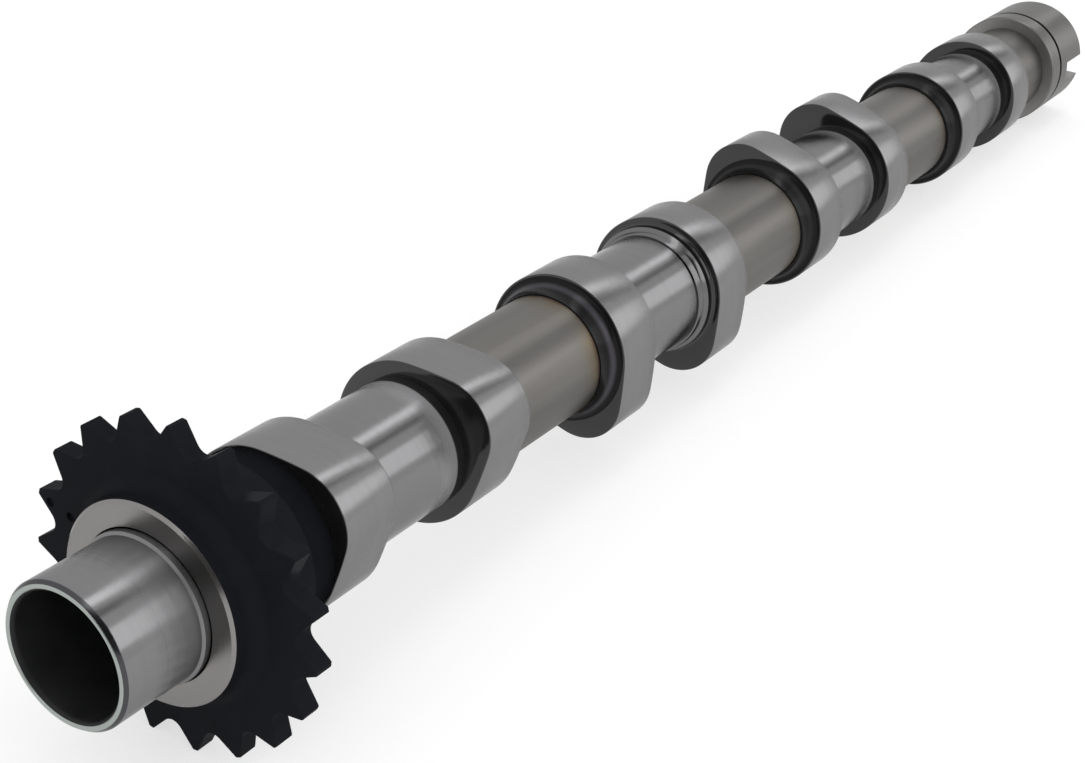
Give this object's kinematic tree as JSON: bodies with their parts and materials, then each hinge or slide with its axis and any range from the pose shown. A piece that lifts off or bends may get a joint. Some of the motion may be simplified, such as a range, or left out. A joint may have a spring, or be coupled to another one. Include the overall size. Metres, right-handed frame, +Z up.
{
  "type": "camshaft",
  "caption": "Hollow assembled camshaft with paired cam lobes, a toothed chain sprocket behind a ground thrust face, and a collared drive end with a cross slot.",
  "frame": {"origin": "centre of the end face of the shaft's nose, on the shaft's axis", "axes": "+X along the shaft's axis from the nose to the slotted drive end; +Z up, square to it, midway between the two sprocket teeth it lies on; +Y along the drive slot"},
  "size_m": [0.404, 0.0568, 0.0567],
  "materials": {
    "shaft_steel": "ground",
    "lobe_steel": "ground running face, black sides",
    "sprocket_steel": "black oxide",
    "drive_steel": "ground"
  },
  "bodies": {
    "root": {"shaft_tube": "shaft_steel", "cam_lobe_1": "lobe_steel", "cam_lobe_2": "lobe_steel", "cam_lobe_3": "lobe_steel", "cam_lobe_4": "lobe_steel", "cam_lobe_5": "lobe_steel", "cam_lobe_6": "lobe_steel", "cam_lobe_7": "lobe_steel", "cam_lobe_8": "lobe_steel", "chain_sprocket": "sprocket_steel", "drive_end": "drive_steel"}
  },
  "joints": []
}
